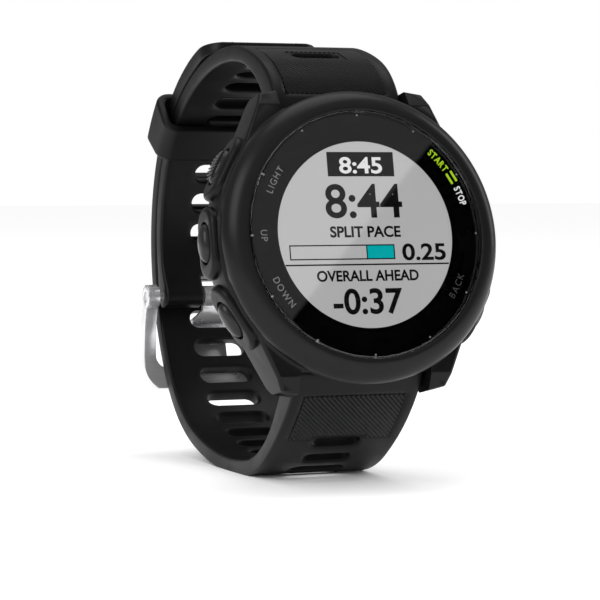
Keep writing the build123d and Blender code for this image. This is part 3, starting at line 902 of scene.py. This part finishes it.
@dataclass
class Keeper:
    """The free loop that holds the tail against the upper half."""

    length: float = 6.8
    wall: float = 1.4
    half_width: float = 11.5
    span: tuple[float, float] = (-2.9, 5.55)
    corner: float = 2.3
    heading: float = -39.5

    def build(self, shop: Workshop) -> None:
        """Make the loop.

        Args:
            shop: places and dresses the mesh.
        """
        bm = bmesh.new()
        bmesh.ops.create_grid(bm, x_segments=1, y_segments=1, size=1.0)
        centre, half = sum(self.span) / 2, (self.span[1] - self.span[0]) / 2
        for vert in bm.verts:
            vert.co = (vert.co.x * self.half_width, 0.0, centre + vert.co.y * half)
        soften(bm, bm.verts[:], self.corner, 6, "VERTICES")
        rungs = 12
        bmesh.ops.translate(bm, verts=bm.verts, vec=(0, -self.length / 2, 0))
        cap = bm.faces[:]
        for _ in range(rungs):
            grown = bmesh.ops.extrude_face_region(bm, geom=cap)["geom"]
            moved = [g for g in grown if isinstance(g, bmesh.types.BMVert)]
            cap = [g for g in grown if isinstance(g, bmesh.types.BMFace)]
            bmesh.ops.translate(bm, verts=moved, vec=(0, self.length / rungs, 0))
        flat = [f for f in bm.faces if len(f.verts) > 4]
        bmesh.ops.delete(bm, geom=flat, context="FACES_ONLY")
        bmesh.ops.recalc_face_normals(bm, faces=bm.faces)
        outward = sum(f.normal.dot(f.calc_center_median() - Vector((0, 0, centre))) for f in bm.faces)
        if outward < 0:
            bmesh.ops.reverse_faces(bm, faces=bm.faces)
        bmesh.ops.solidify(bm, geom=bm.faces[:], thickness=self.wall)
        bmesh.ops.recalc_face_normals(bm, faces=bm.faces)
        rims = [e for e in bm.edges if len(e.link_faces) == 2 and e.calc_face_angle(0.0) > 1.0
                and abs(e.verts[0].co.y - e.verts[1].co.y) < 0.01]
        soften(bm, rims, 0.45, 4)
        start = sum(length for length, _ in UPPER.runs[:KEEPER_RUN])
        run, turn = UPPER.runs[KEEPER_RUN]
        first = UPPER.heading + sum(t for _, t in UPPER.runs[:KEEPER_RUN])
        distance = start + run * (self.heading - first) / turn
        for vert in bm.verts:
            across, along, through = vert.co
            y, z, angle = UPPER.at(distance + along)
            vert.co = (across, y - math.sin(angle) * through, z + math.cos(angle) * through)
        shop.place(bm, "keeper_band", Look.SILICONE, body="keeper", replaces=["keeper_loop"], slot="silicone",
                   sharp=60.0)


# ---------------------------------------------------------------- head
@dataclass
class SoftenedNode:
    """A CAD node's own shape with its hard edges rounded as moulding or tumbling leaves them."""

    node: str
    look: Look
    slot: str
    radius: float
    body: str = "watch"
    segments: int = 3
    turn: float = 28.0

    def build(self, shop: Workshop, frame: dict) -> None:
        """Copy the node, merge it, join its flat faces and round its edges.

        Args:
            shop: places and dresses the mesh.
            frame: the loaded frame.
        """
        bm = bmesh.new()
        bm.from_mesh(frame["nodes"][self.node].data)
        bmesh.ops.remove_doubles(bm, verts=bm.verts, dist=1e-6)
        bmesh.ops.dissolve_limit(bm, angle_limit=math.radians(1.0), verts=bm.verts, edges=bm.edges)
        limit = math.radians(self.turn)
        hard = [e for e in bm.edges if len(e.link_faces) == 2 and e.calc_face_angle(0.0) > limit]
        soften(bm, hard, self.radius * MM, self.segments)
        shop.place(bm, f"{self.node}_shell", self.look, body=self.body, replaces=[self.node], slot=self.slot,
                   sharp=45.0, placed=True)


@dataclass
class ButtonCap:
    """An oval domed push button with its stem."""

    name: str
    angle: float
    ridged: bool = False
    level: float = 6.9
    half_length: float = 2.75
    half_width: float = 1.55
    base: float = 20.15
    crown: float = 22.45
    stem_end: float = 15.75
    stem_radius: float = 0.9

    def build(self, shop: Workshop) -> None:
        """Make the cap and stem.

        Args:
            shop: places and dresses the mesh.
        """
        top = self.crown
        dome = [(0.0005, top), (0.35, top - 0.03), (0.6, top - 0.13), (0.78, top - 0.3), (0.9, top - 0.55),
                (0.97, top - 0.85), (1.0, top - 1.2), (1.0, self.base), (0.0005, self.base)]
        bm = shop.lathe(dome, 64)
        for vert in bm.verts:
            vert.co = (vert.co.y, vert.co.x * self.half_width, vert.co.z * self.half_length)
        ring = self.stem_radius
        stem = shop.lathe([(0.0005, self.stem_end), (ring, self.stem_end), (ring, self.base + 0.2),
                           (0.0005, self.base + 0.2)], 32)
        for vert in stem.verts:
            vert.co = (vert.co.y, vert.co.x, vert.co.z)
        bm = joined([bm, stem])
        bmesh.ops.recalc_face_normals(bm, faces=bm.faces)
        if self.ridged:
            self._ridges(bm)
        turn = Matrix.Rotation(-math.radians(self.angle), 4, "Y")
        bm.transform(turn @ Matrix.Translation((0, self.level, 0)))
        shop.place(bm, f"{self.name}_button_cap", Look.BUTTON, body=f"{self.name}_button",
                   replaces=[f"{self.name}_button"], slot="button", sharp=50.0)

    def _ridges(self, bm: bmesh.types.BMesh) -> None:
        """Add fine grip ridges across the crown.

        Args:
            bm: the cap, still lying along x.
        """
        for step in range(-4, 5):
            along = step * 0.52
            share = math.sqrt(1 - (along / self.half_length) ** 2)
            drop = 0.9 * (1 - share) ** 1.1
            place = Matrix.Translation((self.crown - 0.03 - drop, 0, along))
            place = place @ Matrix.Rotation(math.pi / 2, 4, "X")
            bmesh.ops.create_cone(bm, cap_ends=True, segments=10, radius1=0.13, radius2=0.13,
                                  depth=1.75 * self.half_width * share, matrix=place)


@dataclass
class Front:
    """Bezel ring, lens and the black mask ring under it."""

    lens_radius: float = 17.44
    active_radius: float = 13.15

    def build(self, shop: Workshop) -> None:
        """Make the three rings.

        Args:
            shop: places and dresses the meshes.
        """
        r = self.lens_radius
        bezel = [(r + 0.05, 0.14), (r + 0.12, 0.05), (r + 0.3, 0.0), (18.2, 0.06), (18.9, 0.28), (19.5, 0.65),
                 (20.05, 1.15), (20.4, 1.6), (20.6, 2.05), (20.69, 2.45), (20.7, 2.85), (20.66, 3.12),
                 (20.52, 3.27), (20.3, 3.3), (20.0, 3.3), (20.0, 2.6), (16.6, 2.6), (16.6, 1.5),
                 (r + 0.05, 1.5)]
        shop.place(shop.lathe(bezel), "bezel", Look.BEZEL, replaces=["bezel_ring"], slot="bezel", sharp=40.0)
        glass = [(0.0005, 0.0), (r - 0.42, 0.0), (r - 0.32, 0.0), (r - 0.18, 0.02), (r - 0.07, 0.09),
                 (r - 0.01, 0.22), (r, 0.4), (r, 1.0), (0.0005, 1.0)]
        shop.place(shop.lathe(glass), "lens_glass", Look.GLASS, replaces=["lens"], slot="lens", sharp=40.0)
        mask = [(self.active_radius, 1.06), (17.3, 1.06), (17.3, 1.14), (self.active_radius, 1.14)]
        shop.place(shop.lathe(mask), "mask_ring", Look.MASK, replaces=["dial_mask"], slot="mask")


class Reading(Enum):
    """Which way ring lettering runs."""

    CLOCKWISE = -1
    COUNTERCLOCKWISE = 1


@dataclass(frozen=True)
class Words:
    """A line of display text fitted to a box."""

    text: str
    middle: tuple[float, float]
    width: float
    height: float
    look: Look
    bold: float = 0.02


@dataclass(frozen=True)
class RingWord:
    """A label set along the mask ring."""

    text: str
    angle: float
    reading: Reading
    look: Look
    height: float = 0.95
    radius: float = 15.2
    spacing: float = 0.34
    bold: float = 0.0
    narrow: float = 0.92


@dataclass
class Lettering:
    """Text on the display and on the mask ring, made as thin meshes."""

    shop: Workshop
    level: float = 1.03

    def _glyphs(self, text: str, bold: float) -> bmesh.types.BMesh:
        """Flat lettering as a mesh, about one unit high.

        Args:
            text: what to set.
            bold: how far the strokes are widened.

        Returns:
            The lettering in its own x-y plane.
        """
        curve = bpy.data.curves.new("lettering", "FONT")
        curve.body = text
        curve.offset = bold
        curve.resolution_u = 6
        carrier = bpy.data.objects.new("lettering", curve)
        mesh = bpy.data.meshes.new_from_object(carrier)
        bm = bmesh.new()
        bm.from_mesh(mesh)
        bpy.data.objects.remove(carrier)
        bpy.data.curves.remove(curve)
        bpy.data.meshes.remove(mesh)
        bmesh.ops.remove_doubles(bm, verts=bm.verts, dist=1e-5)
        return bm

    @staticmethod
    def _box(bm: bmesh.types.BMesh) -> tuple[float, float, float, float]:
        """Low x, high x, low y and high y of flat lettering."""
        xs = [v.co.x for v in bm.verts]
        ys = [v.co.y for v in bm.verts]
        return min(xs), max(xs), min(ys), max(ys)

    def stand(self, bm: bmesh.types.BMesh, depth: float) -> None:
        """Turn lettering from its own plane to face out of the lens.

        Args:
            bm: the lettering.
            depth: its y in the head frame.
        """
        for vert in bm.verts:
            vert.co = (vert.co.x, depth, vert.co.y)
        bmesh.ops.recalc_face_normals(bm, faces=bm.faces)
        if sum(f.normal.y for f in bm.faces) > 0:
            bmesh.ops.reverse_faces(bm, faces=bm.faces)

    def display(self, words: Words, name: str, depth: float) -> None:
        """Fit one line of text to its box.

        Args:
            words: the text, its box and finish.
            name: the piece's name.
            depth: its y in the head frame.
        """
        bm = self._glyphs(words.text, words.bold)
        x0, x1, y0, y1 = self._box(bm)
        wide, tall = words.width / (x1 - x0), words.height / (y1 - y0)
        for vert in bm.verts:
            vert.co.x = words.middle[0] + (vert.co.x - (x0 + x1) / 2) * wide
            vert.co.y = words.middle[1] + (vert.co.y - (y0 + y1) / 2) * tall
        self.stand(bm, depth)
        self.shop.place(bm, name, words.look)

    def ring(self, word: RingWord, name: str) -> None:
        """Set one label letter by letter along the ring.

        Args:
            word: the label.
            name: the piece's name.
        """
        letters = [self._glyphs(letter, word.bold) for letter in word.text]
        boxes = [self._box(bm) for bm in letters]
        cap = max(box[3] for box in boxes)
        scale = word.height / cap
        widths = [(box[1] - box[0]) * scale * word.narrow for box in boxes]
        total = sum(widths) + word.spacing * (len(letters) - 1)
        sign = word.reading.value
        travelled = -total / 2
        for bm, box, width in zip(letters, boxes, widths):
            spot = math.radians(word.angle) + sign * (travelled + width / 2) / word.radius
            turn = spot - math.pi / 2 if sign < 0 else spot + math.pi / 2
            travelled += width + word.spacing
            for vert in bm.verts:
                x = (vert.co.x - (box[0] + box[1]) / 2) * scale * word.narrow
                y = vert.co.y * scale - word.height / 2
                vert.co.x = word.radius * math.cos(spot) + x * math.cos(turn) - y * math.sin(turn)
                vert.co.y = word.radius * math.sin(spot) + x * math.sin(turn) + y * math.cos(turn)
        whole = joined(letters)
        self.stand(whole, self.level)
        self.shop.place(whole, name, word.look)

    def bar(self, x: tuple[float, float], z: tuple[float, float], name: str, look: Look,
            depth: float) -> None:
        """A plain flat rectangle.

        Args:
            x: low and high x.
            z: low and high z.
            name: the piece's name.
            look: its finish.
            depth: its y in the head frame.
        """
        bm = bmesh.new()
        bmesh.ops.create_grid(bm, x_segments=1, y_segments=1, size=0.5)
        for vert in bm.verts:
            vert.co.x = (x[0] + x[1]) / 2 + vert.co.x * (x[1] - x[0])
            vert.co.y = (z[0] + z[1]) / 2 + vert.co.y * (z[1] - z[0])
        self.stand(bm, depth)
        self.shop.place(bm, name, look)

    def dots(self, radius: float, size: float, name: str, look: Look) -> None:
        """Twelve hour dots.

        Args:
            radius: how far out they lie.
            size: their radius.
            name: the piece's name.
            look: their finish.
        """
        bm = bmesh.new()
        for hour in range(12):
            angle = hour * math.pi / 6
            place = Matrix.Translation((radius * math.cos(angle), radius * math.sin(angle), 0))
            bmesh.ops.create_circle(bm, cap_ends=True, segments=12, radius=size, matrix=place)
        self.stand(bm, self.level)
        self.shop.place(bm, name, look)


@dataclass
class Screen:
    """What the display shows, and the labels round it."""

    ground_depth: float = 1.18
    ink_depth: float = 1.165
    top_depth: float = 1.15

    def build(self, shop: Workshop) -> None:
        """Make the display ground, its readout and the ring labels.

        Args:
            shop: places and dresses the meshes.
        """
        pen = Lettering(shop)
        # The display ground, readout, ring labels, dots and marks glow with painted light from their
        # finishes.
        ground = bmesh.new()
        bmesh.ops.create_circle(ground, cap_ends=True, segments=96, radius=13.4)
        pen.stand(ground, self.ground_depth)
        shop.place(ground, "display_face", Look.SCREEN, slot="display")
        ink, top = self.ink_depth, self.top_depth
        bars = [
            ("readout_box", (-5.02, 5.06), (8.2, 11.66)), ("gauge_top", (-11.6, 4.2), (-1.6, -1.42)),
            ("gauge_bottom", (-11.6, 4.2), (-3.53, -3.35)), ("gauge_left", (-11.6, -11.42), (-3.53, -1.42)),
            ("gauge_right", (4.02, 4.2), (-3.53, -1.42)), ("gauge_mark", (-0.12, 0.06), (-3.53, -1.42)),
            ("gauge_fill", (0.06, 4.02), (-3.35, -1.6)), ("divider", (-12.35, 12.35), (-4.34, -4.12)),
        ]
        for name, x, z in bars:
            pen.bar(x, z, name, Look.TEAL if name == "gauge_fill" else Look.DARK, ink)
        lines = [
            Words("8:45", (0.0, 9.77), 6.5, 2.36, Look.WHITE, 0.022),
            Words("8:44", (0.07, 4.71), 11.64, 4.86, Look.DARK, 0.015),
            Words("SPLIT PACE", (-0.02, 0.38), 10.66, 1.6, Look.DARK, 0.03),
            Words("0.25", (8.65, -2.54), 6.68, 2.42, Look.DARK, 0.024),
            Words("OVERALL AHEAD", (-0.14, -5.8), 15.36, 1.57, Look.DARK, 0.03),
            Words("-0:37", (-0.43, -9.4), 10.5, 3.68, Look.DARK, 0.022),
        ]
        for index, words in enumerate(lines):
            pen.display(words, f"readout_{index + 1}", top if words.look is Look.WHITE else ink)
        labels = [
            RingWord("LIGHT", 149.3, Reading.CLOCKWISE, Look.PALE, spacing=0.3),
            RingWord("UP", 180.2, Reading.COUNTERCLOCKWISE, Look.PALE, spacing=0.26),
            RingWord("DOWN", 211.6, Reading.COUNTERCLOCKWISE, Look.PALE, spacing=0.26),
            RingWord("START", 41.2, Reading.CLOCKWISE, Look.LIME, 1.0, 15.9, 0.12, 0.03, 0.74),
            RingWord("STOP", 19.8, Reading.CLOCKWISE, Look.WHITE, 1.0, 15.9, 0.12, 0.03, 0.72),
            RingWord("BACK", -29.4, Reading.COUNTERCLOCKWISE, Look.DIM, spacing=0.26),
        ]
        for label in labels:
            pen.ring(label, f"label_{label.text.lower()}")
        pen.dots(16.87, 0.14, "hour_dots", Look.PALE)
        for index, radius in enumerate((15.55, 16.35)):
            mark = bmesh.new()
            bmesh.ops.create_grid(mark, x_segments=1, y_segments=1, size=0.5)
            soften(mark, mark.verts[:], 0.1, 3, "VERTICES")
            angle = math.radians(30.2)
            for vert in mark.verts:
                out, round_ = radius + vert.co.x * 0.36, vert.co.y * 1.7
                vert.co = (out * math.cos(angle) - round_ * math.sin(angle),
                           out * math.sin(angle) + round_ * math.cos(angle), 0.0)
            pen.stand(mark, pen.level)
            shop.place(mark, f"start_mark_{index + 1}", Look.LIME)


# ---------------------------------------------------------------- studio
@dataclass
class Studio:
    """Floor, soft light and camera."""

    floor_half: float = 3.0
    focal: float = 156.0
    azimuth: float = -22.2
    elevation: float = 2.8
    distance: float = 0.360
    shift: tuple[float, float] = (0.00944, 0.00923)
    light_side: float = 0.30
    dark_side: float = 0.0
    back_wall: float = 0.26
    split_blur: float = 0.0008

    def _camera(self, head: Matrix) -> bpy.types.Object:
        """The main camera.

        Args:
            head: the head frame's place.

        Returns:
            The camera object.
        """
        a, e = math.radians(self.azimuth), math.radians(self.elevation)
        back = Vector((math.sin(a) * math.cos(e), -math.cos(a) * math.cos(e), math.sin(e)))
        right = Vector((math.cos(a), math.sin(a), 0.0))
        up = back.cross(right)
        data = bpy.data.cameras.new("camera")
        data.lens = self.focal
        data.sensor_width = 36.0
        data.clip_start = 0.01
        camera = bpy.data.objects.new("camera", data)
        spot = head.translation + back * self.distance - right * self.shift[0] - up * self.shift[1]
        camera.matrix_world = Matrix.Translation(spot) @ Matrix((right, up, back)).transposed().to_4x4()
        bpy.context.scene.collection.objects.link(camera)
        bpy.context.scene.camera = camera
        return camera

    def _panel(self, name: str, at: tuple[float, float, float], aim: tuple[float, float, float],
               size: tuple[float, float], power: float) -> None:
        """One soft rectangular light.

        Args:
            name: the light's name.
            at: where it stands.
            aim: what it points at.
            size: width and height.
            power: watts.
        """
        data = bpy.data.lights.new(name, "AREA")
        data.shape = "RECTANGLE"
        data.size, data.size_y = size
        data.energy = power
        lamp = bpy.data.objects.new(name, data)
        way = Vector(aim) - Vector(at)
        lamp.matrix_world = Matrix.Translation(at) @ way.to_track_quat("-Z", "Y").to_matrix().to_4x4()
        bpy.context.scene.collection.objects.link(lamp)

    def _world(self, head: Matrix, camera: bpy.types.Object) -> None:
        """White surround for the eye, and a soft split surround for reflections.

        Args:
            head: the head frame's place.
            camera: the main camera.
        """
        world = bpy.data.worlds.new("studio")
        bpy.context.scene.world = world
        world.use_nodes = True
        tree = world.node_tree
        tree.nodes.clear()
        face = (head.to_3x3() @ Vector((0, -1, 0))).normalized()
        eye = camera.matrix_world.translation

        def bounce(x: float, z: float) -> Vector:
            """Where the eye's line to a spot on the lens goes once mirrored.

            Args:
                x: the spot's x in the head frame.
                z: the spot's z in the head frame.

            Returns:
                The mirrored direction.
            """
            view = (eye - head @ Vector((x, 0.0, z))).normalized()
            return 2 * face.dot(view) * face - view

        split = bounce(10.2, 12.3).cross(bounce(-12.5, -12.0)).normalized()
        if split.dot(bounce(-12.0, 12.0)) < 0:
            split = -split
        ray = add_node(tree, "ShaderNodeTexCoord").outputs["Generated"]
        dot = add_node(tree, "ShaderNodeVectorMath", {0: ray}, {1: split}, operation="DOT_PRODUCT")
        edge = add_node(tree, "ShaderNodeMapRange", {"Value": dot.outputs["Value"]},
                        {"From Min": -self.split_blur, "From Max": self.split_blur,
                         "To Min": self.dark_side, "To Max": self.light_side})
        behind = add_node(tree, "ShaderNodeSeparateXYZ", {"Vector": ray})
        rise = add_node(tree, "ShaderNodeMapRange", {"Value": behind.outputs["Y"]},
                        {"From Min": 0.0, "From Max": 0.7}, interpolation_type="SMOOTHSTEP")
        wall = add_node(tree, "ShaderNodeMix",
                        {"Factor": rise.outputs["Result"], "A": edge.outputs["Result"]},
                        {"B": self.back_wall})
        path = add_node(tree, "ShaderNodeLightPath")
        glossy = add_node(tree, "ShaderNodeMix",
                          {"Factor": path.outputs["Is Glossy Ray"], "B": wall.outputs["Result"]}, {"A": 1.0})
        background = add_node(tree, "ShaderNodeBackground", {"Strength": glossy.outputs["Result"]},
                              {"Color": grey(1.0)})
        add_node(tree, "ShaderNodeOutputWorld", {"Surface": background.outputs["Background"]})
        world.cycles.sampling_method = "NONE"

    def _floor(self) -> None:
        """A wide pale floor under the watch."""
        bm = bmesh.new()
        bmesh.ops.create_grid(bm, x_segments=8, y_segments=8, size=self.floor_half)
        mesh = bpy.data.meshes.new("floor")
        bm.to_mesh(mesh)
        bm.free()
        desk = ShaderDesk("pale floor")
        shader = desk.principled(Roughness=0.9, Specular_IOR_Level=0.0)
        wash = desk.node("ShaderNodeTexNoise")
        wash.inputs["Scale"].default_value = 3.0
        desk.join(desk.coords.outputs["Object"], wash.inputs["Vector"])
        desk.join(desk.tint(wash.outputs["Fac"], grey(0.955), grey(0.965)), shader.inputs["Base Color"])
        mesh.materials.append(desk.material)
        floor = bpy.data.objects.new("floor", mesh)
        bpy.context.scene.collection.objects.link(floor)

    def build(self, shop: Workshop) -> None:
        """Set up floor, camera, surround and lights.

        Args:
            shop: knows where the head lies.
        """
        self._floor()
        camera = self._camera(shop.head)
        self._world(shop.head, camera)
        bpy.context.scene.view_settings.view_transform = "Standard"
        self._panel("left key", (-0.55, -0.30, 0.45), (0, 0, 0.03), (0.35, 0.45), 1.7)
        self._panel("top fill", (0.1, 0.15, 0.9), (0, 0, 0.03), (0.7, 0.7), 2.2)
        self._panel("right rim", (0.6, 0.05, 0.3), (0, 0, 0.03), (0.2, 0.5), 0.7)


def dress_frame(frame: dict, shop: Workshop) -> None:
    """Give every CAD node the finish of its record slot.

    Args:
        frame: the loaded frame.
        shop: builds the materials.
    """
    slots = {part["node"]: part["material_slot"] for part in frame["record"]["subparts"]}
    for name, node in frame["nodes"].items():
        node.data.materials.clear()
        node.data.materials.append(shop.finish(RECORD_SLOTS[slots[name]]))
    LOG.info("dressed %d CAD nodes", len(slots))


def strap_halves() -> list[StrapHalf]:
    """The two strap halves with their slots."""
    row = SLOT_PITCH / 12
    upper_slots = [Slot(UPPER_SLOT - row * 25, 7.4, 5, 1.15)]
    upper_slots += [Slot(UPPER_SLOT + SLOT_PITCH * i) for i in range(10)]
    lower_slots = [Slot(TONGUE_SLOT - row * rows, 7.4, 5, 1.15) for rows in (140, 130)]
    lower_slots += [Slot(TONGUE_SLOT + SLOT_PITCH * i) for i in range(-10, 9)]
    upper = StrapHalf("strap_upper", "upper_strap", UPPER, 1, upper_slots, (2.4, 15.6), barrel=True)
    lower = StrapHalf("strap_lower", "lower_strap", tail_path(), -1, lower_slots, (2.4, 11.2))
    return [upper, lower]


def main() -> None:
    """Build the watch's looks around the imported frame."""
    logging.basicConfig(level=logging.INFO, format="%(name)s: %(message)s")
    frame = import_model()
    shop = Workshop(frame["record"], Effects())
    dress_frame(frame, shop)
    Front().build(shop)
    Screen().build(shop)
    for half in strap_halves():
        half.build(shop)
    Keeper().build(shop)
    for name, angle in (("light", 150.0), ("up", 180.0), ("down", 210.0), ("start_stop", 30.0),
                        ("back", -30.0)):
        ButtonCap(name, angle, ridged=name == "light").build(shop)
    for part in (SoftenedNode("mid_case", Look.CASE, "case", 0.9, segments=4),
                 SoftenedNode("buckle_frame", Look.STEEL, "steel", 0.6, "buckle_frame", 4),
                 SoftenedNode("buckle_tongue", Look.STEEL, "steel", 0.25, "buckle_tongue")):
        part.build(shop, frame)
    Studio().build(shop)


if __name__ == "__main__":
    main()
